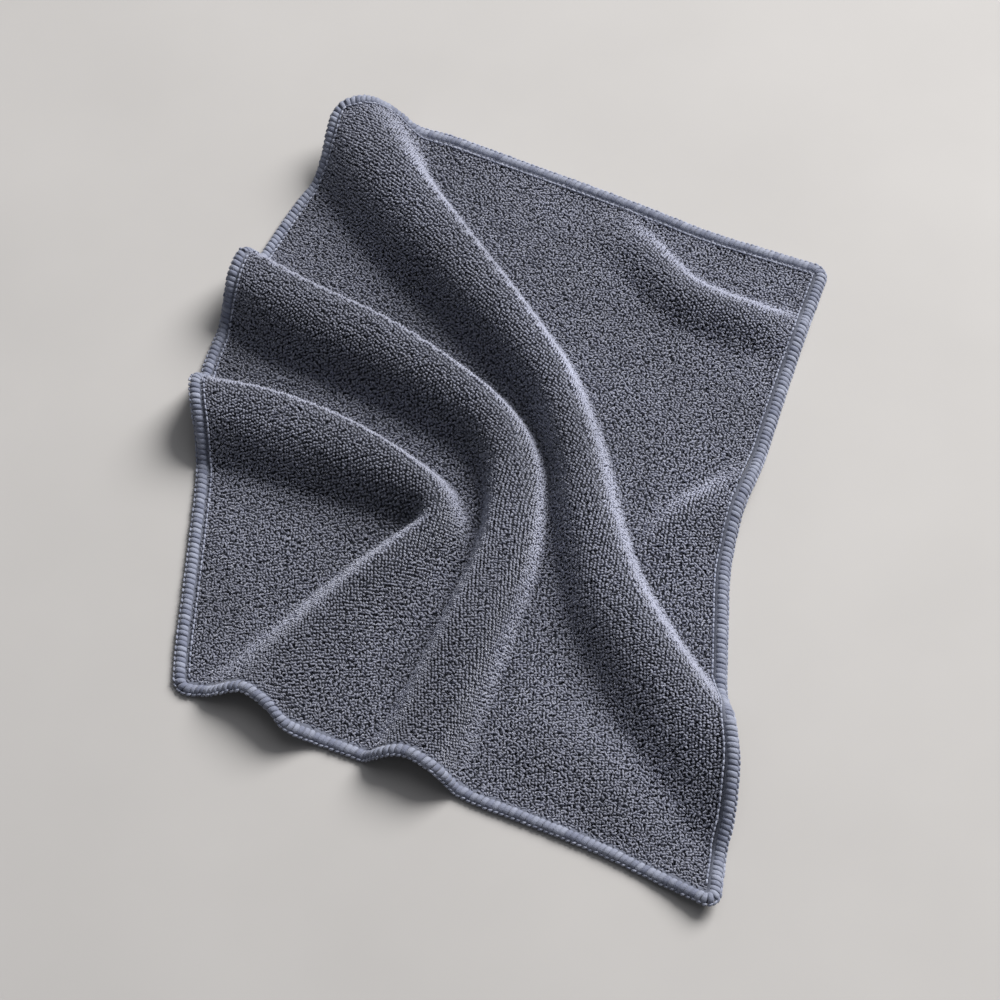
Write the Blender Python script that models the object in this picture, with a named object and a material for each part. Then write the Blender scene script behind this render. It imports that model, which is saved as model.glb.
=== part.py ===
"""A cut microfibre cloth with an overlocked edge, lying loosely folded on a flat surface.

Two pieces: the cloth itself, one sheet with three folds and a few soft swells, and the
band of yarn that is overlocked round its edge.

Frame: metres, +Z up, the surface it lies on at Z = 0, the origin under the middle of the
lying cloth.  The tables below are in millimetres.
"""

from math import cos, pi, sin

import bmesh
import bpy
import numpy as np

MM = 0.001

# The cloth as it is cut and sewn, millimetres
CUT_WIDTH = 300.0
CUT_LENGTH = 400.0
CORNER_RADIUS = 8.5
SHEET = 3.0
MESH_STEP = 7.0
CORNER_STEPS = 4
SETTLE_ROUNDS = 150

# The overlocked band: yarn wound over the cloth's raw edge, level with the cloth below
BAND_WIDTH = 7.2
BAND_THICKNESS = 4.6
BAND_BEVEL = 1.2
FIT_GAP = 0.3

# Middle of the lying cloth in the tables' own plan
MIDDLE = (8.04, 11.85)

# The four edges as they lie, seen from above: (x, y)
BOTTOM_EDGE = [
    (-158, -110), (-148, -110.2), (-138, -112.7), (-125, -113.6), (-117, -118.2),
    (-110, -124.5), (-102, -132.8), (-88, -135.9), (-73, -141.5), (-59, -145.6), (-45, -148.4),
    (-31, -156.4), (-17, -164), (-9, -168), (12, -176.5), (47, -192), (74, -206.6),
    (100, -221.8),
]
TOP_EDGE = [
    (-88.5, 236), (-76, 239.5), (-66, 240.8), (-54, 241.7), (-44, 238.1), (-33, 234.5),
    (-19, 229), (22, 210), (55, 195), (87, 179.5), (111, 167.5), (140, 156), (177, 142),
]
LEFT_EDGE = [
    (-158, -110), (-158.5, -87), (-157, -53), (-155.5, -19), (-154.5, 7), (-155, 30.4),
    (-157.5, 45.6), (-158.5, 56), (-157, 70), (-153, 88), (-148, 103.9), (-145, 113.3),
    (-142, 124.4), (-138, 135), (-131, 147), (-122, 165), (-111, 186), (-100.5, 202.5),
    (-96, 213.8), (-93, 225.1), (-88.5, 236),
]
RIGHT_EDGE = [
    (100, -221.8), (105, -193.4), (108.5, -180.2), (110.5, -168.4), (112, -150.9),
    (111, -134.8), (109.5, -112), (110.5, -92), (112, -70), (113, -55), (115.5, -36),
    (122, -10), (133, 16), (145, 52), (158, 90), (170, 123), (177, 142),
]

# Folds, each a row for a station along its crest:
# (x, y, height, reach of the left flank, of the right, fullness of the left flank, of the right)
LONG_FOLD = [
    (-94, 262, 25, 48, 46, 1.1, 1.5),
    (-77, 238, 26, 36, 46, 1.1, 1.7),
    (-52, 198, 28, 18, 46, 1.1, 1.7),
    (-32, 167, 27, 18, 44, 1.1, 1.7),
    (-6, 128, 26, 18, 36, 1.1, 1.7),
    (19, 88, 24, 18, 28, 1.1, 1.7),
    (33, 60, 23, 18, 23, 1.1, 1.7),
    (44, 21, 22, 18, 22, 1.1, 1.7),
    (52, -19, 21, 18, 27, 1.1, 1.7),
    (64, -58, 20, 18, 36, 1.1, 1.7),
    (85, -98, 20, 24, 42, 1.1, 1.6),
    (106, -129, 20, 24, 50, 1.1, 1.3),
    (132, -158, 17, 24, 56, 1.1, 1.2),
]
HOOKED_FOLD = [
    (-172, 150, 24, 25, 36, 1.1, 1.6),
    (-140, 138, 25, 18, 36, 1.1, 1.7),
    (-101, 115, 26, 18, 40, 1.1, 1.7),
    (-62, 94, 25, 18, 38, 1.1, 1.7),
    (-25, 67, 24, 18, 32, 1.1, 1.7),
    (-2, 44, 22, 18, 27, 1.2, 1.7),
    (9, 18, 20, 18, 23, 1.6, 1.7),
    (8, -10, 19, 18, 18, 1.7, 1.7),
    (3, -38, 19, 18, 18, 1.7, 1.7),
    (-8, -68, 19, 18, 18, 1.7, 1.7),
    (-20, -100, 18, 20, 19, 1.7, 1.7),
    (-36, -139, 15, 23, 22, 1.7, 1.7),
    (-52, -172, 13, 28, 28, 1.7, 1.7),
]
SHORT_FOLD = [
    (-190, 66, 21, 22, 36, 1.1, 1.6),
    (-158, 58, 22, 18, 38, 1.1, 1.7),
    (-119, 50, 23, 18, 42, 1.1, 1.7),
    (-84, 36, 22, 18, 40, 1.1, 1.7),
    (-55, 18, 21, 18, 32, 1.1, 1.7),
    (-35, -1, 19, 18, 24, 1.2, 1.6),
    (-32, -18, 18, 18, 18, 1.3, 1.3),
    (-45, -30, 17, 25, 18, 1.3, 1.2),
    (-66, -50, 17, 31, 18, 1.3, 1.2),
    (-90, -76, 16, 36, 19, 1.4, 1.2),
    (-108, -99, 14, 38, 24, 1.6, 1.4),
    (-119, -122, 13, 38, 34, 1.7, 1.6),
    (-130, -150, 12, 38, 36, 1.7, 1.6),
]
CORNER_RIPPLE = [
    (60, 178, 0, 18, 24, 1.1, 1.3),
    (80, 153, 7, 18, 24, 1.1, 1.3),
    (101, 126, 10, 18, 26, 1.1, 1.3),
    (134, 110, 9, 18, 26, 1.1, 1.3),
    (162, 100, 2, 18, 24, 1.1, 1.3),
]
SIDE_SWELL = [
    (58, -44, 0, 24, 34, 1.1, 1.3),
    (77, -25, 5, 24, 34, 1.1, 1.3),
    (93, -10, 6, 24, 34, 1.1, 1.3),
    (110, 0, 6, 24, 32, 1.1, 1.3),
    (132, 12, 4, 24, 30, 1.1, 1.3),
]
FRONT_SWELL = [
    (0, -110, 0, 30, 34, 1.2, 1.2),
    (28, -135, 3, 30, 34, 1.2, 1.2),
    (60, -160, 3, 30, 34, 1.2, 1.2),
    (80, -190, 0, 30, 34, 1.2, 1.2),
]
CORNER_LIFT = [
    (78, -190, 0, 26, 26, 1.2, 1.2),
    (96, -214, 5, 26, 26, 1.2, 1.2),
    (112, -236, 7, 26, 26, 1.2, 1.2),
]
FOLDS = (LONG_FOLD, HOOKED_FOLD, SHORT_FOLD, CORNER_RIPPLE, SIDE_SWELL, FRONT_SWELL,
         CORNER_LIFT)

# How a fold goes round its bends, and how folds run into each other
BEND_SOFTNESS = 3.0
MERGE_POWER = 3

CLOTH_COLOUR = (0.105, 0.113, 0.150, 1.0)
BAND_COLOUR = (0.150, 0.165, 0.225, 1.0)


def smooth_curve(stations, steps):
    """A Catmull-Rom curve through all the columns of a table."""
    rows = np.array(stations, float)
    first = 2 * rows[0] - rows[1]
    last = 2 * rows[-1] - rows[-2]
    rows = np.vstack([first, rows, last])
    t = (np.arange(steps) / steps)[:, None]
    spans = []
    for before, start, end, after in zip(rows, rows[1:], rows[2:], rows[3:]):
        bend = 2 * before - 5 * start + 4 * end - after
        twist = 3 * start - before - 3 * end + after
        spans.append(0.5 * (2 * start + (end - before) * t + bend * t**2 + twist * t**3))
    return np.vstack(spans + [rows[-2:-1]])


def fold_height(stations, x, y):
    """Height of one fold over plan points: a soft ridge with two unlike flanks."""
    crest = smooth_curve(stations, 5)
    heights = []
    distances = []
    for start, end in zip(crest, crest[1:]):
        run = end[:2] - start[:2]
        length = np.hypot(*run)
        ahead = ((x - start[0]) * run[0] + (y - start[1]) * run[1]) / length**2
        ahead = np.clip(ahead, 0, 1)
        away_x = x - start[0] - ahead * run[0]
        away_y = y - start[1] - ahead * run[1]
        distance = np.hypot(away_x, away_y)
        top, left, right, left_full, right_full = (
            start[column] + ahead * (end[column] - start[column]) for column in range(2, 7))
        on_left = run[0] * away_y > run[1] * away_x
        reach = np.where(on_left, left, right)
        power = np.where(on_left, left_full, right_full)
        fall = np.clip(distance / reach, 0, 1) ** power
        heights.append(np.maximum(top, 0) * (0.5 + 0.5 * np.cos(pi * fall)))
        distances.append(distance)
    distances = np.array(distances)
    weights = np.exp((distances.min(axis=0) - distances) / BEND_SOFTNESS)
    return (weights * np.array(heights)).sum(axis=0) / weights.sum(axis=0)


def lie_height(x, y):
    """Height of the whole cloth over plan points: the folds, run into each other."""
    total = sum(fold_height(fold, x, y) ** MERGE_POWER for fold in FOLDS)
    return total ** (1 / MERGE_POWER)


def along_edge(stations):
    """An edge's plan curve with the share of its draped length at each point."""
    curve = smooth_curve(stations, 10)
    height = lie_height(curve[:, 0], curve[:, 1])
    steps = np.linalg.norm(np.diff(np.column_stack([curve, height]), axis=0), axis=1)
    share = np.concatenate([[0], np.cumsum(steps)])
    return curve, share / share[-1]


EDGES = {
    "bottom": along_edge(BOTTOM_EDGE),
    "top": along_edge(TOP_EDGE),
    "left": along_edge(LEFT_EDGE),
    "right": along_edge(RIGHT_EDGE),
}


def edge_point(edge, share):
    curve, shares = EDGES[edge]
    return np.stack([np.interp(share, shares, curve[:, 0]),
                     np.interp(share, shares, curve[:, 1])], axis=-1)


def plan_point(u, v):
    """Where the flat cloth's point (u, v) lies, seen from above: a Coons patch."""
    s = (u / CUT_WIDTH)[..., None]
    t = (v / CUT_LENGTH)[..., None]
    across = (1 - s) * edge_point("left", t[..., 0]) + s * edge_point("right", t[..., 0])
    along = (1 - t) * edge_point("bottom", s[..., 0]) + t * edge_point("top", s[..., 0])
    corners = ((1 - s) * (1 - t) * np.array(BOTTOM_EDGE[0])
               + s * (1 - t) * np.array(BOTTOM_EDGE[-1])
               + (1 - s) * t * np.array(TOP_EDGE[0])
               + s * t * np.array(TOP_EDGE[-1]))
    return across + along - corners


def settle(plan):
    """Slide a grid's inner points along the lie until its draped steps are even."""
    plan = plan.copy()
    for _ in range(SETTLE_ROUNDS):
        laid = np.dstack([plan, lie_height(plan[..., 0], plan[..., 1])])
        left, right = laid[1:-1, :-2], laid[1:-1, 2:]
        front, back = laid[:-2, 1:-1], laid[2:, 1:-1]
        normal = np.cross(right - left, back - front)
        normal /= np.linalg.norm(normal, axis=-1, keepdims=True)
        pull = (left + right + front + back) / 4 - laid[1:-1, 1:-1]
        pull -= (pull * normal).sum(axis=-1, keepdims=True) * normal
        plan[1:-1, 1:-1] += pull[..., :2] / 2
    return plan


def lay(plan, offset):
    """Plan points raised onto the lie, then off the sheet's middle, square to it; metres."""
    x, y = plan[..., 0], plan[..., 1]
    nudge = 0.25
    slope_x = (lie_height(x + nudge, y) - lie_height(x - nudge, y)) / (2 * nudge)
    slope_y = (lie_height(x, y + nudge) - lie_height(x, y - nudge)) / (2 * nudge)
    normal = np.stack([-slope_x, -slope_y, np.ones_like(x)], axis=-1)
    normal /= np.linalg.norm(normal, axis=-1, keepdims=True)
    middle = np.stack([x - MIDDLE[0], y - MIDDLE[1], lie_height(x, y) + SHEET / 2], axis=-1)
    return (middle + normal * offset) * MM


def grid_lines(length):
    """Even lines across the flat cloth between its corners' centres."""
    count = round((length - 2 * CORNER_RADIUS) / MESH_STEP)
    return np.linspace(CORNER_RADIUS, length - CORNER_RADIUS, count + 1)


def edge_stations():
    """Stations round the sewn edge: the grid line's end, and the way out from it.

    Each is (column, row, out_u, out_v); a corner's four stations share its centre.
    """
    last_column = len(grid_lines(CUT_WIDTH)) - 1
    last_row = len(grid_lines(CUT_LENGTH)) - 1
    sides = [
        ([(i, 0) for i in range(last_column)], -pi / 2, (last_column, 0)),
        ([(last_column, i) for i in range(last_row)], 0.0, (last_column, last_row)),
        ([(i, last_row) for i in range(last_column, 0, -1)], pi / 2, (0, last_row)),
        ([(0, i) for i in range(last_row, 0, -1)], pi, (0, 0)),
    ]
    stations = []
    for ends, facing, corner in sides:
        stations += [(*end, cos(facing), sin(facing)) for end in ends]
        for step in range(CORNER_STEPS):
            turn = facing + step * pi / 2 / CORNER_STEPS
            stations.append((*corner, cos(turn), sin(turn)))
    return stations


def ring(mesh, stations, inset, offset):
    """Vertices round the edge at one inset from it and one offset from the middle."""
    across = grid_lines(CUT_WIDTH)
    along = grid_lines(CUT_LENGTH)
    out = CORNER_RADIUS - inset
    u = np.array([across[column] + out * out_u for column, _, out_u, _ in stations])
    v = np.array([along[row] + out * out_v for _, row, _, out_v in stations])
    return [mesh.verts.new(co) for co in lay(plan_point(u, v), offset)]


def skin(mesh, rings):
    """Triangles between neighbouring rings, cut the same way in both pieces."""
    for ring_a, ring_b in zip(rings, rings[1:]):
        for i in range(len(ring_a)):
            first, second = ring_a[i - 1], ring_a[i]
            third, fourth = ring_b[i], ring_b[i - 1]
            for corners in ((first, second, third), (first, third, fourth)):
                if len(set(corners)) == 3:
                    mesh.faces.new(corners)


def band_section():
    """The band's cut shape, a flat oval of wound yarn: (inset, offset) pairs."""
    under = -SHEET / 2
    top = under + BAND_THICKNESS
    return [
        (BAND_WIDTH, under), (BAND_BEVEL, under), (0, under + BAND_BEVEL),
        (0, top - BAND_BEVEL), (BAND_BEVEL, top), (BAND_WIDTH - BAND_BEVEL, top),
        (BAND_WIDTH, top - BAND_BEVEL), (BAND_WIDTH, SHEET / 2),
    ]


def material(name, colour, roughness):
    made = bpy.data.materials.new(name)
    made.use_nodes = True
    shader = made.node_tree.nodes["Principled BSDF"]
    shader.inputs["Base Color"].default_value = colour
    shader.inputs["Roughness"].default_value = roughness
    shader.inputs["Metallic"].default_value = 0.0
    made.diffuse_color = colour
    return made


def finish(mesh, name, collection, made):
    """Hang a bmesh on a named object with its material, faces out and shaded smooth."""
    bmesh.ops.recalc_face_normals(mesh, faces=mesh.faces)
    data = bpy.data.meshes.new(name)
    mesh.to_mesh(data)
    mesh.free()
    data.materials.append(made)
    data.shade_smooth()
    data.set_sharp_from_angle(angle=pi / 3)
    piece = bpy.data.objects.new(name, data)
    collection.objects.link(piece)
    return piece


def laid_grid(mesh, stations, plan, offset):
    """One face of the cloth between its corners' centres; returns its rim by station."""
    rows, columns = plan.shape[:2]
    grid = bmesh.ops.create_grid(mesh, x_segments=columns - 1, y_segments=rows - 1, size=1.0)
    laid = lay(plan, offset)
    by_place = {}
    for vert in grid["verts"]:
        column = round((vert.co.x + 1) / 2 * (columns - 1))
        row = round((vert.co.y + 1) / 2 * (rows - 1))
        by_place[column, row] = vert
        vert.co = laid[row, column]
    return [by_place[column, row] for column, row, _, _ in stations]


def build_cloth(collection):
    """The sheet: a grid for each face, and rings from one rim round to the other."""
    stations = edge_stations()
    inset = BAND_WIDTH + FIT_GAP
    half = SHEET / 2
    flat = np.meshgrid(grid_lines(CUT_WIDTH), grid_lines(CUT_LENGTH))
    plan = settle(plan_point(*flat))
    mesh = bmesh.new()
    skin(mesh, [
        laid_grid(mesh, stations, plan, half),
        ring(mesh, stations, inset, half),
        ring(mesh, stations, inset, -half),
        laid_grid(mesh, stations, plan, -half),
    ])
    fields = [face for face in mesh.faces if len(face.verts) == 4]
    bmesh.ops.triangulate(mesh, faces=fields, quad_method="SHORT_EDGE")
    return finish(mesh, "cloth", collection, material("Microfibre pile", CLOTH_COLOUR, 0.9))


def build_band(collection):
    """The overlocked band: its section lofted round the whole edge."""
    stations = edge_stations()
    mesh = bmesh.new()
    rings = [ring(mesh, stations, inset, offset) for inset, offset in band_section()]
    skin(mesh, rings + rings[:1])
    return finish(mesh, "overlock_band", collection,
                  material("Overlock yarn", BAND_COLOUR, 0.75))


def main():
    for old in list(bpy.data.objects):
        bpy.data.objects.remove(old, do_unlink=True)
    collection = bpy.data.collections.new("microfibre_cloth")
    bpy.context.scene.collection.children.link(collection)
    build_cloth(collection)
    build_band(collection)


main()
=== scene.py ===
from math import cos, pi, sin, tau

import bmesh
import bpy
import numpy as np
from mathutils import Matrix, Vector


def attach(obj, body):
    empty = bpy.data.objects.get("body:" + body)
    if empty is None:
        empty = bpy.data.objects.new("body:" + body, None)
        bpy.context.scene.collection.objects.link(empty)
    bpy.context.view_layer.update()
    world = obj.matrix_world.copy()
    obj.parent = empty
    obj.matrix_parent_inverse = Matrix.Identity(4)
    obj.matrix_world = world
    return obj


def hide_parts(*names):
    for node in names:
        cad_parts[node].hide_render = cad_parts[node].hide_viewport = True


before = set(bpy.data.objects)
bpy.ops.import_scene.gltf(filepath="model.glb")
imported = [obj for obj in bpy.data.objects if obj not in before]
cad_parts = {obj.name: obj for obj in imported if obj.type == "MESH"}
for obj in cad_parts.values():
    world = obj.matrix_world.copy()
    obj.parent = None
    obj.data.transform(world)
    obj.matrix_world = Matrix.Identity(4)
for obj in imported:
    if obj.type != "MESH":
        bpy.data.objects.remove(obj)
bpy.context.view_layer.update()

MM = 0.001

# Sizes and places are in millimetres, unless a comment says otherwise

# The cloth as it is cut and sewn, as in the part's source
CUT_WIDTH = 300.0
CUT_LENGTH = 400.0
CORNER_RADIUS = 8.5
SHEET = 3.0

# Middle of the lying cloth's box among the drawn points below: the frame's origin
MIDDLE = (8.04, 11.85)

# The four edges as they lie, seen from above: (x, y)
BOTTOM_EDGE = [
    (-158, -110), (-148, -110.2), (-138, -112.7), (-125, -113.6), (-117, -118.2), (-110, -124.5),
    (-102, -132.8), (-88, -135.9), (-73, -141.5), (-59, -146.7), (-45, -148.4), (-31, -156.4),
    (-17, -164), (-9, -168), (12, -176.5), (47, -192), (74, -206.6), (100, -221.8),
]
TOP_EDGE = [
    (-88.5, 236), (-76, 239.5), (-66, 240.8), (-54, 241.7), (-44, 238.1), (-33, 234.5),
    (-19, 229), (22, 210), (55, 195), (87, 179.5), (111, 167.5), (140, 156), (177, 142),
]
LEFT_EDGE = [
    (-158, -110), (-158.5, -87), (-157, -53), (-155.5, -19), (-154.5, 7), (-155, 30.4),
    (-157.5, 45.6), (-158.5, 56), (-157, 70), (-153, 88), (-148, 103.9), (-145, 113.3),
    (-142, 124.4), (-138, 135), (-131, 147), (-122, 165), (-111, 186), (-100.5, 202.5),
    (-96, 213.8), (-93, 225.1), (-88.5, 236),
]
RIGHT_EDGE = [
    (100, -221.8), (105, -193.4), (108.5, -180.2), (110.5, -168.4), (112, -150.9), (111, -134.8),
    (109.5, -112), (110.5, -92), (112, -70), (113, -55), (115.5, -36), (122, -10), (133, 16),
    (145, 52), (158, 90), (170, 123), (177, 142),
]

# Folds, each a row for a station along its crest:
# (x, y, height, reach of the left flank, of the right, fullness of the left flank, of the right)
LONG_FOLD = [
    (-94, 262, 25, 48, 46, 1.1, 1.5),
    (-77, 238, 26, 36, 46, 1.1, 1.7),
    (-52, 198, 28, 17, 46, 1.1, 1.8),
    (-32, 167, 27, 14, 44, 1.1, 1.9),
    (-6, 128, 26, 13, 36, 1.1, 2.0),
    (19, 88, 24, 13, 28, 1.1, 2.1),
    (33, 60, 23, 13, 23, 1.1, 2.2),
    (44, 21, 22, 13, 22, 1.1, 2.3),
    (52, -19, 21, 13, 27, 1.1, 2.3),
    (64, -58, 20, 13, 36, 1.1, 2.0),
    (85, -98, 20, 13, 42, 1.1, 1.6),
    (106, -129, 20, 15, 50, 1.1, 1.3),
    (132, -158, 17, 20, 56, 1.1, 1.2),
]
HOOKED_FOLD = [
    (-172, 150, 24, 25, 36, 1.1, 1.6),
    (-140, 138, 25, 18, 36, 1.1, 1.8),
    (-101, 115, 26, 13, 40, 1.1, 2.0),
    (-62, 94, 25, 12, 38, 1.1, 2.0),
    (-25, 67, 24, 12, 32, 1.1, 2.0),
    (-2, 44, 22, 13, 27, 1.2, 2.0),
    (9, 18, 20, 15, 23, 1.6, 2.3),
    (8, -10, 19, 16, 17, 2.8, 3.6),
    (3, -38, 19, 17, 18, 3.2, 3.6),
    (-8, -68, 19, 18, 19, 3.2, 3.6),
    (-20, -100, 18, 20, 21, 2.8, 3.4),
    (-36, -139, 15, 23, 24, 2.4, 2.8),
    (-52, -172, 13, 28, 28, 1.8, 1.8),
]
SHORT_FOLD = [
    (-190, 66, 21, 22, 36, 1.1, 1.6),
    (-158, 58, 22, 17, 38, 1.1, 1.8),
    (-119, 50, 23, 12, 42, 1.1, 2.0),
    (-84, 36, 22, 11, 40, 1.1, 2.0),
    (-55, 18, 21, 11, 32, 1.1, 1.9),
    (-35, -1, 19, 13, 24, 1.2, 1.6),
    (-32, -18, 18, 18, 14, 1.3, 1.3),
    (-45, -30, 17, 25, 13, 1.3, 1.2),
    (-66, -50, 17, 31, 15, 1.3, 1.2),
    (-90, -76, 16, 36, 19, 1.4, 1.2),
    (-108, -99, 14, 38, 24, 1.6, 1.4),
    (-119, -122, 13, 38, 34, 1.8, 1.6),
    (-130, -150, 12, 38, 36, 1.8, 1.6),
]
CORNER_RIPPLE = [
    (60, 178, 0, 12, 24, 1.1, 1.3),
    (80, 153, 7, 11, 24, 1.1, 1.3),
    (101, 126, 10, 12, 26, 1.1, 1.3),
    (134, 110, 9, 12, 26, 1.1, 1.3),
    (162, 100, 2, 14, 24, 1.1, 1.3),
]
SIDE_SWELL = [
    (58, -44, 0, 14, 34, 1.1, 1.3),
    (77, -25, 5, 12, 34, 1.1, 1.3),
    (93, -10, 7, 12, 34, 1.1, 1.3),
    (110, 0, 7, 13, 32, 1.1, 1.3),
    (132, 12, 4, 16, 30, 1.1, 1.3),
]
CORNER_LIFT = [
    (78, -190, 0, 26, 26, 1.2, 1.2),
    (96, -214, 5, 26, 26, 1.2, 1.2),
    (112, -236, 7, 26, 26, 1.2, 1.2),
]
FRONT_SWELL = [
    (0, -110, 0, 30, 34, 1.2, 1.2),
    (28, -135, 3, 30, 34, 1.2, 1.2),
    (60, -160, 3, 30, 34, 1.2, 1.2),
    (80, -190, 0, 30, 34, 1.2, 1.2),
]
FOLDS = (LONG_FOLD, HOOKED_FOLD, SHORT_FOLD, CORNER_RIPPLE, SIDE_SWELL, CORNER_LIFT,
         FRONT_SWELL)

# How softly one fold bends along its crest, and how sharply two folds meet
BEND_SOFTNESS = 3.0
MERGE_POWER = 3

# How finely the lie is worked out: steps in each span of a crest and of an edge, the
# step of the grid that settles on it, which is halved for the fine rounds, and the
# distance to each side over which a slope is measured
CREST_STEPS = 5
EDGE_STEPS = 10
SETTLE_STEP = 7.0
SETTLE_ROUNDS = 150
FINE_ROUNDS = 60
SLOPE_REACH = 0.25

# Keeps a point beyond the settled grid's last line within its last cell
LAST_CELL = 1.001

# A crest is sharp where it stands SHARP_RISE above the cloth CREST_SPAN away from it
CREST_SPAN = 7.0
SHARP_RISE = 1.4

# Knitted ground under the pile: how far its rim is from the cut edge, its grid, and
# where its two faces are off the sheet's middle
GROUND_INSET = 2.0
GROUND_STEP = 3.2
GROUND_TOP = -0.4
GROUND_UNDER = -1.35

# Pile loops in wales and courses. On a sharp crest they part and stand in order, turned
# by CREST_TURN radians at most. A loop may stray beyond the pile's rim by PILE_PLAY, and
# its wale runs towards the point WALE_AHEAD of it
PILE_INSET = 6.9
PILE_PLAY = 0.4
WALE_PITCH = 1.55
COURSE_PITCH = 1.55
WALE_AHEAD = 0.5
PILE_PIECES = 4
PILE_UNREST = 0.16
CREST_ORDER = 0.7
LOOP_LENGTH = 2.0
LOOP_WIDTH = 1.05
LOOP_HEIGHT = 2.4
CREST_LENGTH = 1.65
CREST_WIDTH = 1.25
CREST_TURN = 0.40

# Long waves in which the nap leans this way and that, and how far, in radians
NAP_WAVES = (150.0, 83.0, 47.0)
NAP_LEAN = 0.11

# One loop for a width, a length and a height of 1: (along the wale, across it, up)
LOOP_PATH = [(-0.52, -0.10, -0.10), (-0.24, 0.06, 0.70), (0.24, 0.06, 0.70),
             (0.52, -0.10, -0.10)]

# A piece's copies draw their chances with the seven seeds after its own, so the seeds of
# two pieces are further apart than that
SEED_STEP = 20

# Loose fibre ends among the loops
HAIR_PITCH = 1.45
HAIR_PIECES = 2
HAIR_UNREST = 0.45
HAIR_WIDTH = 0.16
HAIR_HEIGHT = 3.4

# Overlock: insets are from the cut edge and heights above the sheet's underside. The
# chain is sunk deeper where it is less than FRONT_REACH from its line on the front hem.
# A line round the cloth has CORNER_POINTS in each of its corners
TURN_PITCH = 2.8
TURN_INSET = 3.05
KNOT_INSET = 0.25
CHAIN_INSET = 7.4
CHAIN_PITCH = 2.9
CHAIN_HEIGHT = 3.0
CHAIN_FRONT = 1.6
FRONT_REACH = 1.0
CORNER_POINTS = 9

# The band that the yarn is wound round: (inset, height) round its section, and how far
# it is from one section to the next
CORE_STEP = 4.0
CORE_SECTION = [(7.0, 0.9), (1.2, 0.9), (0.6, 1.6), (0.6, 2.4), (1.4, 2.95), (2.9, 3.25),
                (4.3, 3.0), (5.3, 2.75), (6.9, 2.65)]

# The yarn in one stitch: (along the edge, inwards, up)
TURN_PATH = [(0.45, 1.6, 1.2), (0.5, 1.9, 1.9), (0.42, 1.75, 2.5), (0.25, 1.1, 3.05),
             (0.0, 0.0, 3.4), (-0.2, -0.9, 3.35), (-0.4, -1.7, 2.95), (-0.5, -2.2, 2.3),
             (-0.45, -2.1, 1.5), (-0.2, -1.3, 0.9), (0.2, 0.6, 0.85), (0.45, 1.6, 1.2)]
KNOT_PATH = [(-1.6, 0.15, 1.2), (-0.9, -0.3, 1.6), (0.0, -0.4, 2.0), (0.9, -0.3, 2.3),
             (1.6, 0.15, 2.5)]
LINK_PATH = [(-1.6, 0.0, -0.3), (-0.9, 0.0, 0.3), (0.0, 0.0, 0.45), (0.9, 0.0, 0.3),
             (1.6, 0.0, -0.3)]

# Patterns in the materials: patches of nap, the width to each side over which the pile is
# painted darker towards the left as painted light falloff, grains, nubs and the stone's
# mottling, and how deep they are. Real fibres are a hundredth of a millimetre and real
# filaments of yarn little more, so both grains are drawn as coarse as they need to show
PATCH_SIZE = 60.0
PAINTED_FALLOFF_REACH = 170.0
FIBRE_GRAIN = 0.6
FIBRE_RELIEF = 0.3
GROUND_NUB = 2.2
NUB_RELIEF = 1.0
YARN_GRAIN = 0.7
YARN_RELIEF = 0.4
STONE_MOTTLE = 120.0


# ---------------------------------------------------------------- the lie of the cloth

def smooth_curve(stations, steps):
    """A smooth curve through the rows of a table, for all its columns at once."""
    rows = np.array(stations, float)
    first = 2 * rows[0] - rows[1]
    last = 2 * rows[-1] - rows[-2]
    rows = np.vstack([first, rows, last])
    t = (np.arange(steps) / steps)[:, None]
    spans = []
    for before, start, end, after in zip(rows, rows[1:], rows[2:], rows[3:]):
        bend = 2 * before - 5 * start + 4 * end - after
        twist = 3 * start - before - 3 * end + after
        spans.append(0.5 * (2 * start + (end - before) * t + bend * t**2 + twist * t**3))
    return np.vstack(spans + [rows[-2:-1]])


def fold_height(stations, x, y):
    """Height of one fold over plan points: a soft ridge with two unlike flanks."""
    crest = smooth_curve(stations, CREST_STEPS)
    heights = []
    distances = []
    for start, end in zip(crest, crest[1:]):
        run = end[:2] - start[:2]
        length = np.hypot(*run)
        ahead = ((x - start[0]) * run[0] + (y - start[1]) * run[1]) / length**2
        ahead = np.clip(ahead, 0, 1)
        away_x = x - start[0] - ahead * run[0]
        away_y = y - start[1] - ahead * run[1]
        distance = np.hypot(away_x, away_y)
        top, left, right, left_full, right_full = (
            start[column] + ahead * (end[column] - start[column]) for column in range(2, 7))
        on_left = run[0] * away_y > run[1] * away_x
        reach = np.where(on_left, left, right)
        power = np.where(on_left, left_full, right_full)
        fall = np.clip(distance / reach, 0, 1) ** power
        heights.append(np.maximum(top, 0) * (0.5 + 0.5 * np.cos(pi * fall)))
        distances.append(distance)
    distances = np.array(distances)
    weights = np.exp((distances.min(axis=0) - distances) / BEND_SOFTNESS)
    return (weights * np.array(heights)).sum(axis=0) / weights.sum(axis=0)


def lie_height(x, y):
    """Height of the whole cloth over plan points: the folds, run into each other."""
    total = sum(fold_height(fold, x, y) ** MERGE_POWER for fold in FOLDS)
    return total ** (1 / MERGE_POWER)


def along_edge(stations):
    """An edge's plan curve with the share of its draped length at each point."""
    curve = smooth_curve(stations, EDGE_STEPS)
    height = lie_height(curve[:, 0], curve[:, 1])
    steps = np.linalg.norm(np.diff(np.column_stack([curve, height]), axis=0), axis=1)
    share = np.concatenate([[0], np.cumsum(steps)])
    return curve, share / share[-1]


EDGES = {
    "bottom": along_edge(BOTTOM_EDGE),
    "top": along_edge(TOP_EDGE),
    "left": along_edge(LEFT_EDGE),
    "right": along_edge(RIGHT_EDGE),
}


def edge_point(edge, share):
    """The plan point at a share of an edge's draped length."""
    curve, shares = EDGES[edge]
    return np.stack([np.interp(share, shares, curve[:, 0]),
                     np.interp(share, shares, curve[:, 1])], axis=-1)


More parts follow.
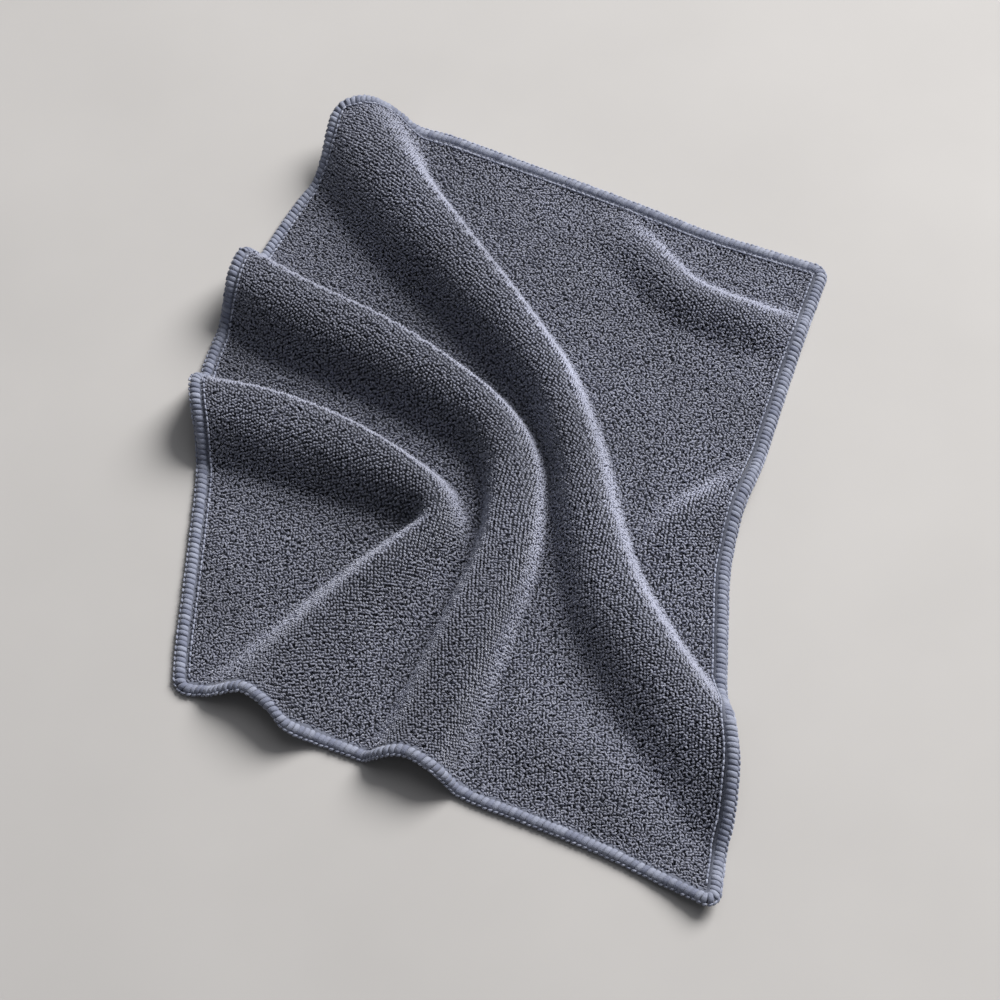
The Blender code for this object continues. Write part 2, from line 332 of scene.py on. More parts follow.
def plan_point(u, v):
    """Where the flat cloth's point (u, v) lies, seen from above, blended from the edges."""
    s = (u / CUT_WIDTH)[..., None]
    t = (v / CUT_LENGTH)[..., None]
    across = (1 - s) * edge_point("left", t[..., 0]) + s * edge_point("right", t[..., 0])
    along = (1 - t) * edge_point("bottom", s[..., 0]) + t * edge_point("top", s[..., 0])
    corners = ((1 - s) * (1 - t) * np.array(BOTTOM_EDGE[0])
               + s * (1 - t) * np.array(BOTTOM_EDGE[-1])
               + (1 - s) * t * np.array(TOP_EDGE[0])
               + s * t * np.array(TOP_EDGE[-1]))
    return across + along - corners


def settle(plan, rounds):
    """Slide a grid's inner points along the lie until its draped steps are even."""
    plan = plan.copy()
    for _ in range(rounds):
        laid = np.dstack([plan, lie_height(plan[..., 0], plan[..., 1])])
        left, right = laid[1:-1, :-2], laid[1:-1, 2:]
        front, back = laid[:-2, 1:-1], laid[2:, 1:-1]
        normal = np.cross(right - left, back - front)
        normal /= np.linalg.norm(normal, axis=-1, keepdims=True)
        pull = (left + right + front + back) / 4 - laid[1:-1, 1:-1]
        pull -= (pull * normal).sum(axis=-1, keepdims=True) * normal
        plan[1:-1, 1:-1] += pull[..., :2] / 2
    return plan


def halved(grid):
    """A grid of points with new ones half way between its own."""
    grid = np.insert(grid, range(1, len(grid)), (grid[1:] + grid[:-1]) / 2, axis=0)
    middles = (grid[:, 1:] + grid[:, :-1]) / 2
    return np.insert(grid, range(1, grid.shape[1]), middles, axis=1)


def settling():
    """The settled grid's drift from the plain patch, with the grid's own lines."""
    plan = None
    for step, rounds in ((SETTLE_STEP, SETTLE_ROUNDS), (SETTLE_STEP / 2, FINE_ROUNDS)):
        lines = []
        for length in (CUT_WIDTH, CUT_LENGTH):
            count = round((length - 2 * CORNER_RADIUS) / SETTLE_STEP) * round(SETTLE_STEP / step)
            lines.append(np.linspace(CORNER_RADIUS, length - CORNER_RADIUS, count + 1))
        patch = plan_point(*np.meshgrid(*lines))
        if plan is None:
            plan = settle(patch, rounds)
            drift = plan - patch
        else:
            drift = halved(drift)
            drift = settle(patch + drift, rounds) - patch
    return lines[0], lines[1], drift


DRIFT_U, DRIFT_V, DRIFT = settling()


def cloth_plan(u, v):
    """Where the point (u, v) of the cut cloth lies, with the grid's drift added."""
    def place_on(lines, value):
        """The grid line before a value, and how far beyond it that is, as a cell's share."""
        spot = np.clip((value - lines[0]) / (lines[1] - lines[0]), 0, len(lines) - LAST_CELL)
        whole = spot.astype(int)
        return whole, (spot - whole)[..., None]

    column, right = place_on(DRIFT_U, u)
    row, back = place_on(DRIFT_V, v)
    near = DRIFT[row, column] * (1 - right) + DRIFT[row, column + 1] * right
    far = DRIFT[row + 1, column] * (1 - right) + DRIFT[row + 1, column + 1] * right
    return plan_point(u, v) + near * (1 - back) + far * back


def lay(u, v, offset=0.0):
    """Points of the cut cloth as they lie, off the sheet's middle, with normals; metres."""
    plan = cloth_plan(u, v)
    x, y = plan[..., 0], plan[..., 1]
    reach = SLOPE_REACH
    slope_x = (lie_height(x + reach, y) - lie_height(x - reach, y)) / (2 * reach)
    slope_y = (lie_height(x, y + reach) - lie_height(x, y - reach)) / (2 * reach)
    normal = np.stack([-slope_x, -slope_y, np.ones_like(x)], axis=-1)
    normal /= np.linalg.norm(normal, axis=-1, keepdims=True)
    middle = np.stack([x - MIDDLE[0], y - MIDDLE[1], lie_height(x, y) + SHEET / 2], axis=-1)
    return (middle + normal * np.asarray(offset)[..., None]) * MM, normal


def crest_share(u, v):
    """How far a point is on the outside of a bend: 0 in the fields, 1 on a sharp crest."""
    plan = cloth_plan(u, v)
    x, y = plan[..., 0], plan[..., 1]
    round_about = (lie_height(x + CREST_SPAN, y) + lie_height(x - CREST_SPAN, y)
                   + lie_height(x, y + CREST_SPAN) + lie_height(x, y - CREST_SPAN)) / 4
    return np.clip((lie_height(x, y) - round_about) / SHARP_RISE, 0, 1)


# ---------------------------------------------------------------- nodes and materials

def set_inputs(tree, node, inputs):
    """Gives each of a node's inputs a value or links it to a socket."""
    for key, value in inputs.items():
        if isinstance(value, bpy.types.NodeSocket):
            tree.links.new(value, node.inputs[key])
        else:
            node.inputs[key].default_value = value


def add_node(tree, kind, inputs=None, **settings):
    """A node with its settings and its inputs."""
    made = tree.nodes.new(kind)
    for name, value in settings.items():
        setattr(made, name, value)
    set_inputs(tree, made, inputs or {})
    return made


def linear(hex_colour):
    """A linear colour from an sRGB hex value."""
    parts = [int(hex_colour[i:i + 2], 16) / 255 for i in (1, 3, 5)]
    return [c / 12.92 if c <= 0.04045 else ((c + 0.055) / 1.055) ** 2.4 for c in parts] + [1.0]


def set_stops(ramp, *stops):
    """Places the two stops of a colour ramp and gives them their sRGB colours."""
    for element, (position, colour) in zip(ramp.elements, stops):
        element.position = position
        element.color = linear(colour)


def new_material(name):
    """An empty material with its Principled shader; returns material, tree and shader."""
    made = bpy.data.materials.new(name)
    made.use_nodes = True
    tree = made.node_tree
    return made, tree, tree.nodes["Principled BSDF"]


def microfibre_pile():
    """Split polyester microfibre, knitted as loops and dyed slate grey.

    Its hair-thin fibres scatter light at the surface: no gloss, and the shader's sheen gives
    a soft pale sheen where the cloth turns away. The base colour is painted paler there too,
    as a painted sheen, and painted darker at the loops' roots, as painted shade in the gaps
    between them. It is also painted darker towards the left, as painted light falloff, and
    every loop has a slight tone of its own.
    """
    made, tree, shader = new_material("Looped microfibre pile")
    tip = add_node(tree, "ShaderNodeAttribute", attribute_name="tip")
    tone = add_node(tree, "ShaderNodeAttribute", attribute_name="tone")
    lie = add_node(tree, "ShaderNodeAttribute", attribute_name="normal")
    place = add_node(tree, "ShaderNodeTexCoord")
    # Painted sheen: where the cloth's lie turns away from the view, the loops' colour is lifted
    # towards their tips' colour and painted up to 75% paler
    turned = add_node(tree, "ShaderNodeLayerWeight",
                      {"Blend": 0.5, "Normal": lie.outputs["Vector"]})
    painted_sheen = add_node(tree, "ShaderNodeMapRange",
                     {"Value": turned.outputs["Facing"], "From Min": 0.30, "From Max": 0.80})
    tip_lifted_by_painted_sheen = add_node(tree, "ShaderNodeMix",
                         {"Factor": painted_sheen.outputs[0], "A": tip.outputs["Fac"], "B": 0.85})
    # Painted shade: each loop's colour is darker towards its root, as shade in the gaps between
    # the loops
    painted_root_shade = add_node(tree, "ShaderNodeValToRGB", {0: tip_lifted_by_painted_sheen.outputs[0]})
    set_stops(painted_root_shade.color_ramp, (0.15, "#505360"), (0.95, "#848796"))
    patches = add_node(tree, "ShaderNodeTexNoise",
                       {"Vector": place.outputs["Object"], "Scale": 1 / (PATCH_SIZE * MM),
                        "Detail": 2.0})
    patch_gain = add_node(tree, "ShaderNodeMapRange",
                          {"Value": patches.outputs[0], "From Min": 0.3, "From Max": 0.7,
                           "To Min": 0.84, "To Max": 1.16})
    tone_gain = add_node(tree, "ShaderNodeMapRange",
                         {"Value": tone.outputs["Fac"], "To Min": 0.88, "To Max": 1.12})
    # Painted light falloff: the pile's colour is painted darker towards the left, from 0.80 at
    # the left to 1.06 at the right
    sideways = add_node(tree, "ShaderNodeSeparateXYZ", {0: place.outputs["Object"]})
    painted_light_and_tone_gain = add_node(tree, "ShaderNodeMapRange",
                    {"Value": sideways.outputs["X"], "From Min": -PAINTED_FALLOFF_REACH * MM,
                     "From Max": PAINTED_FALLOFF_REACH * MM, "To Min": 0.80, "To Max": 1.06})
    painted_sheen_gain = add_node(tree, "ShaderNodeMath", {0: painted_sheen.outputs[0], 1: 0.75, 2: 1.0},
                          operation="MULTIPLY_ADD")
    for other in (patch_gain, tone_gain, painted_sheen_gain):
        painted_light_and_tone_gain = add_node(tree, "ShaderNodeMath", {0: painted_light_and_tone_gain.outputs[0], 1: other.outputs[0]},
                        operation="MULTIPLY")
    colour = add_node(tree, "ShaderNodeVectorMath",
                      {0: painted_root_shade.outputs[0], "Scale": painted_light_and_tone_gain.outputs[0]}, operation="SCALE")
    fibres = add_node(tree, "ShaderNodeTexNoise",
                      {"Vector": place.outputs["Object"], "Scale": 1 / (FIBRE_GRAIN * MM),
                       "Detail": 2.0})
    relief = add_node(tree, "ShaderNodeBump",
                      {"Height": fibres.outputs[0], "Distance": FIBRE_RELIEF * MM,
                       "Strength": 0.6})
    set_inputs(tree, shader, {
        "Base Color": colour.outputs[0], "Normal": relief.outputs[0], "Roughness": 0.85,
        "Specular IOR Level": 0.25, "Sheen Weight": 1.0, "Sheen Roughness": 0.35,
        "Sheen Tint": linear("#ced1dd")})
    return made


def knitted_ground():
    """The same yarn knitted flat, under the pile and on the underside: dark, matt, nubbly."""
    made, tree, shader = new_material("Knitted microfibre ground")
    place = add_node(tree, "ShaderNodeTexCoord")
    nubs = add_node(tree, "ShaderNodeTexVoronoi",
                    {"Vector": place.outputs["Object"], "Scale": 1 / (GROUND_NUB * MM),
                     "Randomness": 0.8})
    # Painted shade: the ground is lighter on its nubs and darker between them
    shade = add_node(tree, "ShaderNodeValToRGB", {0: nubs.outputs["Distance"]})
    set_stops(shade.color_ramp, (0.1, "#6a6e79"), (0.75, "#33353e"))
    relief = add_node(tree, "ShaderNodeBump",
                      {"Height": nubs.outputs["Distance"], "Distance": NUB_RELIEF * MM,
                       "Strength": 0.9}, invert=True)
    set_inputs(tree, shader, {
        "Base Color": shade.outputs[0], "Normal": relief.outputs[0], "Roughness": 0.9,
        "Specular IOR Level": 0.2, "Sheen Weight": 0.3, "Sheen Roughness": 0.4})
    return made


def overlock_yarn(name, dark, light):
    """Textured polyester yarn wound side by side: matt, blue grey, finely ribbed."""
    made, tree, shader = new_material(name)
    place = add_node(tree, "ShaderNodeTexCoord")
    tone = add_node(tree, "ShaderNodeAttribute", attribute_name="tone")
    plies = add_node(tree, "ShaderNodeTexNoise",
                     {"Vector": place.outputs["Object"], "Scale": 1 / (YARN_GRAIN * MM),
                      "Detail": 3.0})
    half_tone = add_node(tree, "ShaderNodeMath", {0: tone.outputs["Fac"], 1: 0.5},
                         operation="MULTIPLY")
    mixed = add_node(tree, "ShaderNodeMath",
                     {0: plies.outputs[0], 1: 0.5, 2: half_tone.outputs[0]},
                     operation="MULTIPLY_ADD")
    shade = add_node(tree, "ShaderNodeValToRGB", {0: mixed.outputs[0]})
    set_stops(shade.color_ramp, (0.25, dark), (0.75, light))
    relief = add_node(tree, "ShaderNodeBump",
                      {"Height": plies.outputs[0], "Distance": YARN_RELIEF * MM,
                       "Strength": 0.5})
    set_inputs(tree, shader, {
        "Base Color": shade.outputs[0], "Normal": relief.outputs[0], "Roughness": 0.75,
        "Specular IOR Level": 0.3, "Sheen Weight": 0.3, "Sheen Roughness": 0.4})
    return made


def pale_stone():
    """The floor: honed pale stone, matt and plain, with only a faint mottling."""
    made, tree, shader = new_material("Plain pale floor")
    place = add_node(tree, "ShaderNodeTexCoord")
    mottle = add_node(tree, "ShaderNodeTexNoise",
                      {"Vector": place.outputs["Object"], "Scale": 1 / (STONE_MOTTLE * MM),
                       "Detail": 6.0})
    shade = add_node(tree, "ShaderNodeValToRGB", {0: mottle.outputs[0]})
    set_stops(shade.color_ramp, (0.3, "#acaaa9"), (0.7, "#b1afae"))
    set_inputs(tree, shader, {"Base Color": shade.outputs[0], "Roughness": 0.7})
    return made


# ---------------------------------------------------------------- masters and trees

def new_object(name, vertices, faces):
    """A smooth-shaded mesh object from vertices and faces, its normals facing out."""
    data = bpy.data.meshes.new(name)
    data.from_pydata([tuple(co) for co in vertices], [], faces)
    mesh = bmesh.new()
    mesh.from_mesh(data)
    bmesh.ops.recalc_face_normals(mesh, faces=mesh.faces)
    mesh.to_mesh(data)
    mesh.free()
    data.shade_smooth()
    made = bpy.data.objects.new(name, data)
    bpy.context.scene.collection.objects.link(made)
    return made


def add_attribute(data, name, values):
    """Gives every point of a mesh a number or a direction, kept under a name."""
    kind, key = ("FLOAT", "value") if np.ndim(values) == 1 else ("FLOAT_VECTOR", "vector")
    layer = data.attributes.new(name, kind, "POINT")
    layer.data.foreach_set(key, np.ravel(values))


def strand(name, path, side, half_width, half_height, sides, unit=1.0):
    """A closed strand of yarn along a path: oval sections between two pointed ends.

    side is the direction of the sections' width; each vertex keeps how high it sits
    on the master, 0 to 1, as its tip value.
    """
    path = np.array(path, float) * unit
    tangents = np.gradient(path, axis=0)
    up = np.cross(tangents, side)
    up /= np.linalg.norm(up, axis=1, keepdims=True)
    broad = np.array(side) * (half_width * unit)
    turns = np.arange(sides) * tau / sides + tau / sides / 2
    vertices = [path[0]]
    for middle, high in zip(path[1:-1], up[1:-1] * (half_height * unit)):
        for turn in turns:
            vertices.append(middle + broad * cos(turn) + high * sin(turn))
    vertices.append(path[-1])
    rings = len(path) - 2
    last = len(vertices) - 1
    faces = []
    for k in range(sides):
        after = (k + 1) % sides
        faces.append((0, 1 + k, 1 + after))
        faces.append((last, last - sides + after, last - sides + k))
        for ring in range(rings - 1):
            base = 1 + ring * sides
            faces.append((base + k, base + sides + k, base + sides + after, base + after))
    made = new_object(name, vertices, faces)
    heights = np.array([co[2] for co in vertices])
    add_attribute(made.data, "tip", (heights - heights.min()) / (heights.max() - heights.min()))
    return made


def copies_tree(name):
    """A tree that sets one master on every point of a mesh, turned to the cloth there.

    The points carry the cloth's normal, the direction along the row, how far they are
    on a crest and how the nap leans; all chance comes from the Seed. A copy's length
    runs along the row and its width across it.
    """
    tree = bpy.data.node_groups.new(name, "GeometryNodeTree")
    sockets = {
        "Points": "Geometry", "Master": "Object", "Material": "Material", "Width": "Float",
        "Crest Width": "Float", "Length": "Float", "Crest Length": "Float",
        "Height": "Float", "Uneven": "Float", "Turn": "Float", "Crest Turn": "Float",
        "Lean": "Float", "Seed": "Int",
    }
    for socket, kind in sockets.items():
        tree.interface.new_socket(socket, in_out="INPUT", socket_type=f"NodeSocket{kind}")
    tree.interface.new_socket("Copies", in_out="OUTPUT", socket_type="NodeSocketGeometry")
    given = add_node(tree, "NodeGroupInput").outputs

    def chance(order, low=-1.0):
        """A number from low to 1 for each copy, drawn with a seed of its own."""
        seed = add_node(tree, "ShaderNodeMath", {0: given["Seed"], 1: float(order)})
        drawn = add_node(tree, "FunctionNodeRandomValue",
                         {2: low, 3: 1.0, "Seed": seed.outputs[0]}, data_type="FLOAT")
        return drawn.outputs[1]

    carried = {}
    for key, kind in (("crest", "FLOAT"), ("nap", "FLOAT_VECTOR"),
                      ("normal", "FLOAT_VECTOR"), ("along", "FLOAT_VECTOR")):
        carried[key] = add_node(tree, "GeometryNodeInputNamedAttribute", {"Name": key},
                                data_type=kind).outputs[0]
    by_crest = {}
    for key in ("Length", "Width", "Turn"):
        by_crest[key] = add_node(tree, "ShaderNodeMix",
                                 {"Factor": carried["crest"], "A": given[key],
                                  "B": given[f"Crest {key}"]}).outputs[0]

    nap = add_node(tree, "ShaderNodeSeparateXYZ", {0: carried["nap"]}).outputs
    leans = {}
    for order, axis in ((1, "X"), (2, "Y")):
        leans[axis] = add_node(tree, "ShaderNodeMath",
                               {0: chance(order), 1: given["Lean"], 2: nap[axis]},
                               operation="MULTIPLY_ADD").outputs[0]
    turn = add_node(tree, "ShaderNodeMath", {0: chance(3), 1: by_crest["Turn"]},
                    operation="MULTIPLY").outputs[0]
    facing = add_node(tree, "FunctionNodeAxesToRotation",
                      {0: carried["normal"], 1: carried["along"]},
                      primary_axis="Z", secondary_axis="X").outputs[0]
    for angles in (leans, {"Z": turn}):
        own = add_node(tree, "ShaderNodeCombineXYZ", angles).outputs[0]
        own = add_node(tree, "FunctionNodeEulerToRotation", {0: own}).outputs[0]
        facing = add_node(tree, "FunctionNodeRotateRotation", {0: facing, 1: own},
                          rotation_space="LOCAL").outputs[0]

    sizes = {}
    for order, axis, size in ((4, "X", by_crest["Length"]), (5, "Y", by_crest["Width"]),
                              (6, "Z", given["Height"])):
        uneven = add_node(tree, "ShaderNodeMath",
                          {0: chance(order), 1: given["Uneven"], 2: 1.0},
                          operation="MULTIPLY_ADD").outputs[0]
        sizes[axis] = add_node(tree, "ShaderNodeMath", {0: size, 1: uneven},
                               operation="MULTIPLY").outputs[0]
    scale = add_node(tree, "ShaderNodeCombineXYZ", sizes).outputs[0]

    master = add_node(tree, "GeometryNodeObjectInfo", {0: given["Master"]}).outputs["Geometry"]
    set_out = add_node(tree, "GeometryNodeInstanceOnPoints",
                       {"Points": given["Points"], "Instance": master,
                        "Rotation": facing, "Scale": scale}).outputs[0]
    toned = add_node(tree, "GeometryNodeStoreNamedAttribute",
                     {"Geometry": set_out, "Name": "tone", "Value": chance(7, 0.0)},
                     data_type="FLOAT", domain="INSTANCE").outputs[0]
    realized = add_node(tree, "GeometryNodeRealizeInstances", {0: toned}).outputs[0]
    finished = add_node(tree, "GeometryNodeSetMaterial",
                        {"Geometry": realized, "Material": given["Material"]}).outputs[0]
    add_node(tree, "NodeGroupOutput", {0: finished})
    return tree


def set_copies(tree, name, points, **inputs):
    """Runs the tree on a mesh of points and keeps the result as a plain mesh object."""
    count = len(points["place"])
    data = bpy.data.meshes.new(name)
    data.vertices.add(count)
    data.vertices.foreach_set("co", points["place"].ravel())
    for key in ("normal", "along", "nap"):
        add_attribute(data, key, points.get(key, np.zeros((count, 3))))
    add_attribute(data, "crest", points.get("crest", np.zeros(count)))
    carrier = bpy.data.objects.new(name, data)
    bpy.context.scene.collection.objects.link(carrier)
    modifier = carrier.modifiers.new("copies", "NODES")
    modifier.node_group = tree
    for item in tree.interface.items_tree:
        if item.in_out == "INPUT" and item.name in inputs:
            modifier[item.identifier] = inputs[item.name]
    graph = bpy.context.evaluated_depsgraph_get()
    made = bpy.data.meshes.new_from_object(carrier.evaluated_get(graph))
    carrier.modifiers.remove(modifier)
    carrier.data = made
    made.name = name
    bpy.data.meshes.remove(data)
    return carrier


def set_pieces(tree, name, count, points, master, seed, **inputs):
    """Sets a master's copies in a few numbered pieces, each with part of the points."""
    share = len(points["place"]) // count + 1
    made = []
    for i in range(count):
        part = {key: values[i * share:(i + 1) * share] for key, values in points.items()}
        made.append(set_copies(tree, f"{name}_{i + 1}", part, Master=master,
                               Seed=seed + i * SEED_STEP, **inputs))
    bpy.data.objects.remove(master, do_unlink=True)
    return made


# ---------------------------------------------------------------- the pieces

def inside_corners(u, v):
    """The nearest point of the rectangle that is one corner radius inside the cut."""
    return (np.clip(u, CORNER_RADIUS, CUT_WIDTH - CORNER_RADIUS),
            np.clip(v, CORNER_RADIUS, CUT_LENGTH - CORNER_RADIUS))


def rounded(u, v):
    """Square corners drawn in to the cut's round ones."""
    core_u, core_v = inside_corners(u, v)
    out_u, out_v = u - core_u, v - core_v
    most = np.maximum(abs(out_u), abs(out_v))
    least = np.minimum(abs(out_u), abs(out_v))
    angle = pi / 4 * np.divide(least, most, out=np.zeros_like(most), where=most > 0)
    long_leg, short_leg = most * np.cos(angle), most * np.sin(angle)
    leans_u = abs(out_u) >= abs(out_v)
    both = (out_u != 0) & (out_v != 0)
    new_u = core_u + np.where(leans_u, long_leg, short_leg) * np.sign(out_u)
    new_v = core_v + np.where(leans_u, short_leg, long_leg) * np.sign(out_v)
    return np.where(both, new_u, u), np.where(both, new_v, v)


def ground_sheet(material):
    """The knitted ground: one thin closed sheet on the lie, its rim inside the overlock."""
    lines = [np.linspace(GROUND_INSET, length - GROUND_INSET, round(length / GROUND_STEP) + 1)
             for length in (CUT_WIDTH, CUT_LENGTH)]
    u, v = rounded(*np.meshgrid(*lines))
    rows, columns = u.shape
    top, _ = lay(u, v, GROUND_TOP)
    under, _ = lay(u, v, GROUND_UNDER)
    vertices = np.vstack([top.reshape(-1, 3), under.reshape(-1, 3)])
    index = np.arange(rows * columns).reshape(rows, columns)
    below = index + rows * columns
    faces = []
    for r in range(rows - 1):
        for c in range(columns - 1):
            faces.append((index[r, c], index[r, c + 1], index[r + 1, c + 1], index[r + 1, c]))
            faces.append((below[r, c], below[r + 1, c], below[r + 1, c + 1], below[r, c + 1]))
    rim = ([(0, c) for c in range(columns - 1)] + [(r, columns - 1) for r in range(rows - 1)]
           + [(rows - 1, c) for c in range(columns - 1, 0, -1)]
           + [(r, 0) for r in range(rows - 1, 0, -1)])
    for (r1, c1), (r2, c2) in zip(rim, rim[1:] + rim[:1]):
        faces.append((index[r1, c1], below[r1, c1], below[r2, c2], index[r2, c2]))
    faces = [tuple(int(i) for i in face) for face in faces]
    made = new_object("cloth_ground", vertices, faces)
    made.data.materials.append(material)
    return made


def pile_points(seed, wale_pitch, course_pitch, unrest):
    """Where loops or fibres stand: wales and courses of the knit, a little uneven."""
    chance = np.random.default_rng(seed)
    wales = np.arange(PILE_INSET, CUT_WIDTH - PILE_INSET, wale_pitch)
    courses = np.arange(PILE_INSET, CUT_LENGTH - PILE_INSET, course_pitch)
    u, v = np.meshgrid(wales, courses)
    v = v + course_pitch / 2 * (np.arange(len(wales)) % 2)
    crest = crest_share(u, v)
    loose = unrest * (1 - CREST_ORDER * crest)
    u = u + chance.normal(0, 1, u.shape) * loose * wale_pitch
    v = v + chance.normal(0, 1, v.shape) * loose * course_pitch
    inset = PILE_INSET - PILE_PLAY
    u = np.clip(u, inset, CUT_WIDTH - inset)
    v = np.clip(v, inset, CUT_LENGTH - inset)
    place, normal = lay(u, v, GROUND_TOP)
    ahead, _ = lay(u, v + WALE_AHEAD, GROUND_TOP)
    along = ahead - place
    along /= np.linalg.norm(along, axis=-1, keepdims=True)
    nap = np.zeros(place.shape)
    for axis in range(2):
        for wave in NAP_WAVES:
            way, phase = chance.uniform(0, tau, 2)
            ripple = np.sin((u * cos(way) + v * sin(way)) * tau / wave + phase)
            nap[..., axis] += NAP_LEAN * ripple
    return {"place": place.reshape(-1, 3), "normal": normal.reshape(-1, 3),
            "along": along.reshape(-1, 3), "nap": nap.reshape(-1, 3), "crest": crest.ravel()}


def pile(tree, material):
    """The pile as four pieces of small closed loops of yarn."""
    loop = strand("loop_master", LOOP_PATH, side=(0, 1, 0), half_width=0.56,
                  half_height=0.30, sides=3)
    points = pile_points(11, WALE_PITCH, COURSE_PITCH, PILE_UNREST)
    sizes = {"Length": LOOP_LENGTH * MM, "Crest Length": CREST_LENGTH * MM,
             "Width": LOOP_WIDTH * MM, "Crest Width": CREST_WIDTH * MM,
             "Height": LOOP_HEIGHT * MM, "Turn": pi, "Crest Turn": CREST_TURN}
    return set_pieces(tree, "pile", PILE_PIECES, points, loop, seed=100, Material=material,
                      Uneven=0.15, Lean=0.20, **sizes)


def fuzz(tree, material):
    """Loose fibre ends that stand out of the pile and catch the light where it turns away."""
    corners = [(-0.5, -0.3, 0), (0.5, -0.3, 0), (0, 0.6, 0), (0.3, 0.1, 1)]
    spike = new_object("fibre_master", corners, [(0, 1, 2), (0, 1, 3), (1, 2, 3), (2, 0, 3)])
    # These tip values put the fibres at the light end of the pile's painted root shade
    add_attribute(spike.data, "tip", (0.9, 0.9, 0.9, 1.3))
    points = pile_points(29, HAIR_PITCH, HAIR_PITCH, HAIR_UNREST)
    # Unlike a loop, a fibre is as fine on a crest as in the fields
    del points["crest"]
    return set_pieces(tree, "pile_fibres", HAIR_PIECES, points, spike, seed=200,
                      Material=material, Width=HAIR_WIDTH * MM, Length=HAIR_WIDTH * MM,
                      Height=HAIR_HEIGHT * MM, Uneven=0.3, Turn=pi, Lean=0.6)


def edge_line(inset, pitch):
    """Evenly spaced points of a line that runs round the cut cloth at one inset."""
    radius = CORNER_RADIUS - inset
    left, right = CORNER_RADIUS, CUT_WIDTH - CORNER_RADIUS
    front, back = CORNER_RADIUS, CUT_LENGTH - CORNER_RADIUS
    corners = ((right, front, -pi / 2), (right, back, 0.0), (left, back, pi / 2),
               (left, front, pi))
    outline = []
    for centre_u, centre_v, facing in corners:
        for turn in np.linspace(facing, facing + pi / 2, CORNER_POINTS):
            outline.append((centre_u + radius * cos(turn), centre_v + radius * sin(turn)))
    outline.append(outline[0])
    outline = np.array(outline)
    steps = np.linalg.norm(np.diff(outline, axis=0), axis=1)
    reached = np.concatenate([[0], np.cumsum(steps)])
    count = round(reached[-1] / pitch)
    spots = (np.arange(count) + 0.5) * reached[-1] / count
    return np.interp(spots, reached, outline[:, 0]), np.interp(spots, reached, outline[:, 1])


def edge_points(inset, pitch, height=0.0, front_height=0.0):
    """Stitch places along an edge line, with the cloth's normal and the line's direction.

    Heights are above the sheet's underside; the front hem has its own.
    """
    u, v = edge_line(inset, pitch)
    height = np.where(v < inset + FRONT_REACH, front_height, height)
    place, normal = lay(u, v, height - SHEET / 2)
    along = np.roll(place, -1, axis=0) - np.roll(place, 1, axis=0)
    along /= np.linalg.norm(along, axis=-1, keepdims=True)
    return {"place": place, "normal": normal, "along": along}


def overlock_core(material):
    """What the yarn is wound round: a flat oval band that fills the gaps between the turns, its
    yarn painted darker than the turns as shade there.
    """
    u, v = edge_line(0.0, CORE_STEP)
    core_u, core_v = inside_corners(u, v)
    rings = []
    for inset, height in CORE_SECTION:
        share = (CORNER_RADIUS - inset) / CORNER_RADIUS
        place, _ = lay(core_u + (u - core_u) * share, core_v + (v - core_v) * share,
                       height - SHEET / 2)
        rings.append(place)
    count = len(u)
    faces = []
    for k in range(len(rings)):
        ring, next_ring = k * count, (k + 1) % len(rings) * count
        for i in range(count):
            after = (i + 1) % count
            faces.append((ring + i, next_ring + i, next_ring + after, ring + after))
    made = new_object("overlock_core", np.vstack(rings), faces)
    made.data.materials.append(material)
    return made


def overlock(tree, turn_material, chain_material):
    """The wound turns, the knots where they lock on the edge, and the inner chain."""
    turn = strand("turn_master", TURN_PATH, side=(1, 0, 0), half_width=1.50,
                  half_height=0.72, sides=8, unit=MM)
    knot = strand("knot_master", KNOT_PATH, side=(0, 0.6, 0.8), half_width=0.68,
                  half_height=0.62, sides=6, unit=MM)
    link = strand("link_master", LINK_PATH, side=(0, 1, 0), half_width=0.55,
                  half_height=0.45, sides=6, unit=MM)
    true_size = {"Width": 1.0, "Length": 1.0, "Height": 1.0, "Turn": 0.06}
    chain_places = edge_points(CHAIN_INSET, CHAIN_PITCH, CHAIN_HEIGHT, CHAIN_FRONT)
    made = [
        set_copies(tree, "overlock_turns", edge_points(TURN_INSET, TURN_PITCH), Master=turn,
                   Material=turn_material, Seed=300, Uneven=0.05, Lean=0.03, **true_size),
        set_copies(tree, "overlock_knots", edge_points(KNOT_INSET, TURN_PITCH), Master=knot,
                   Material=chain_material, Seed=320, Uneven=0.10, Lean=0.05, **true_size),
        set_copies(tree, "overlock_chain", chain_places, Master=link,
                   Material=chain_material, Seed=340, Uneven=0.08, Lean=0.03, **true_size),
    ]
    for master in (turn, knot, link):
        bpy.data.objects.remove(master, do_unlink=True)
    return made


# ---------------------------------------------------------------- floor, light, camera

def add_floor(material):
    """A flat floor that runs far out of the picture, in metres."""
    reach = 8.0
    floor = new_object("floor", [(-reach, -reach, 0), (reach, -reach, 0), (reach, reach, 0),
                                 (-reach, reach, 0)], [(0, 1, 2, 3)])
    floor.data.materials.append(material)


def add_area_light(name, towards, distance, size, watts, colour):
    """A round light that faces the origin; distance and size are in metres."""
    data = bpy.data.lights.new(name, "AREA")
    data.shape = "DISK"
    data.size = size
    data.energy = watts
    data.color = linear(colour)[:3]
    light = bpy.data.objects.new(name, data)
    bpy.context.scene.collection.objects.link(light)
    towards = Vector(towards).normalized()
    light.location = towards * distance
    light.rotation_euler = towards.to_track_quat("Z", "Y").to_euler()


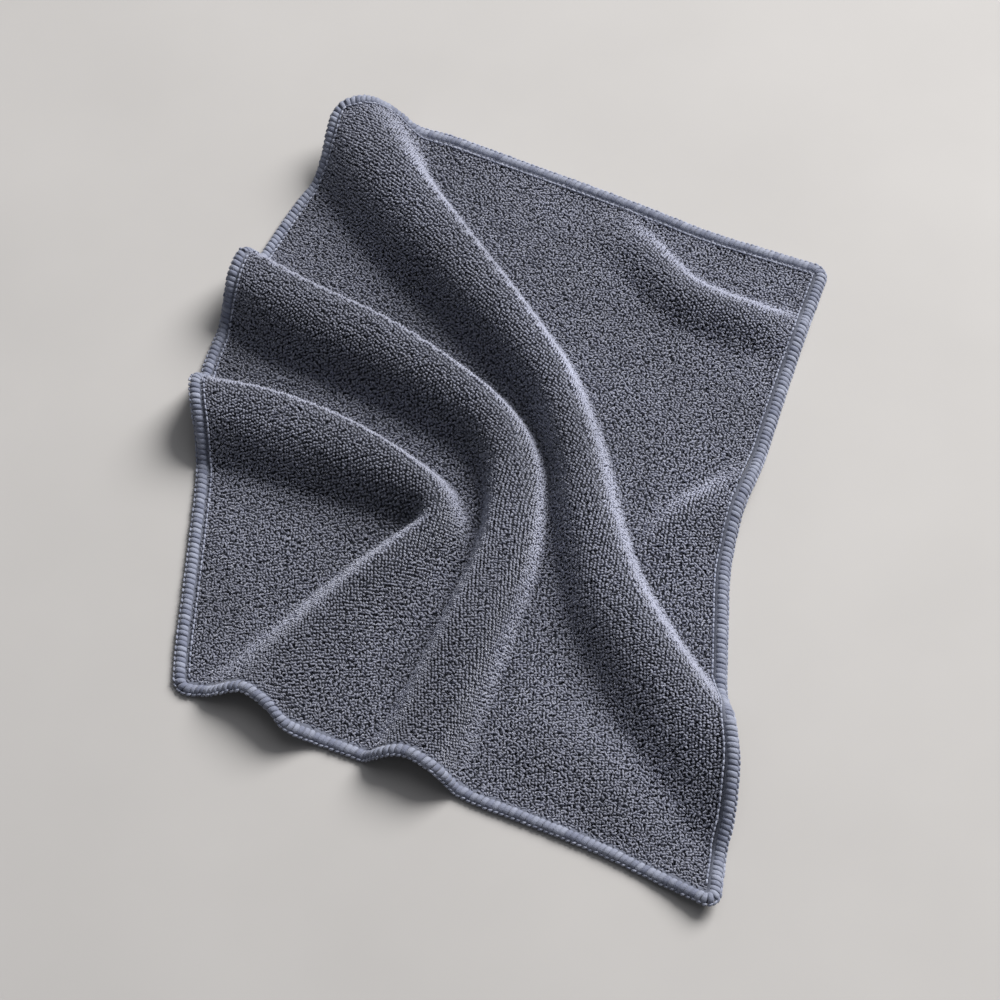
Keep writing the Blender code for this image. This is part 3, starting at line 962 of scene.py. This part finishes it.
def add_world(colour, strength):
    """The even light of a pale room."""
    world = bpy.data.worlds.new("soft room")
    world.use_nodes = True
    set_inputs(world.node_tree, world.node_tree.nodes["Background"],
               {"Color": linear(colour), "Strength": strength})
    bpy.context.scene.world = world


def add_camera():
    """At the photograph's angle: 60 degrees above the surface, looking away along +Y."""
    elevation = pi / 3
    distance = 1200.0
    pixels_per_mm = 1.97
    frame_pixels = 1000.0
    sensor = 36.0
    data = bpy.data.cameras.new("camera")
    data.sensor_width = sensor
    data.sensor_fit = "HORIZONTAL"
    data.lens = pixels_per_mm * distance * sensor / frame_pixels
    camera = bpy.data.objects.new("camera", data)
    bpy.context.scene.collection.objects.link(camera)
    look_at = Vector((-MIDDLE[0], -MIDDLE[1], 0.0))
    back = Vector((0, -cos(elevation), sin(elevation)))
    camera.location = (look_at + back * distance) * MM
    camera.rotation_euler = (pi / 2 - elevation, 0, 0)
    bpy.context.scene.camera = camera


def main():
    """Makes the pieces, puts them on the part and lights them as in the photograph."""
    bpy.context.scene.view_settings.view_transform = "Standard"
    add_camera()
    pile_material = microfibre_pile()
    yarn = overlock_yarn("Overlock yarn", "#6a6f82", "#898e9f")
    chain_yarn = overlock_yarn("Chain stitch yarn", "#787d90", "#9a9fb1")
    # The yarn under the turns is painted darker than the turns, as shade in the gaps between
    # them
    core_shade_yarn = overlock_yarn("Yarn under the turns", "#585c6a", "#6a6e7d")
    tree = copies_tree("copies_on_cloth")
    ground = ground_sheet(knitted_ground())
    loops = pile(tree, pile_material) + fuzz(tree, pile_material)
    core = overlock_core(core_shade_yarn)
    band = overlock(tree, yarn, chain_yarn)
    for piece in [ground, *loops]:
        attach(piece, "root")
    for piece in [core, *band]:
        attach(piece, "root")
    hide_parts("cloth")
    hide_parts("overlock_band")
    add_floor(pale_stone())
    add_area_light("key", towards=(0.45, 0.48, 0.53), distance=5.5, size=3.4, watts=572.0,
                   colour="#fffdfa")
    add_area_light("softbox", towards=(0.15, 0.35, 1.0), distance=2.4, size=2.4, watts=12.0,
                   colour="#fbfcff")
    add_world(colour="#eef1f6", strength=0.14)


main()
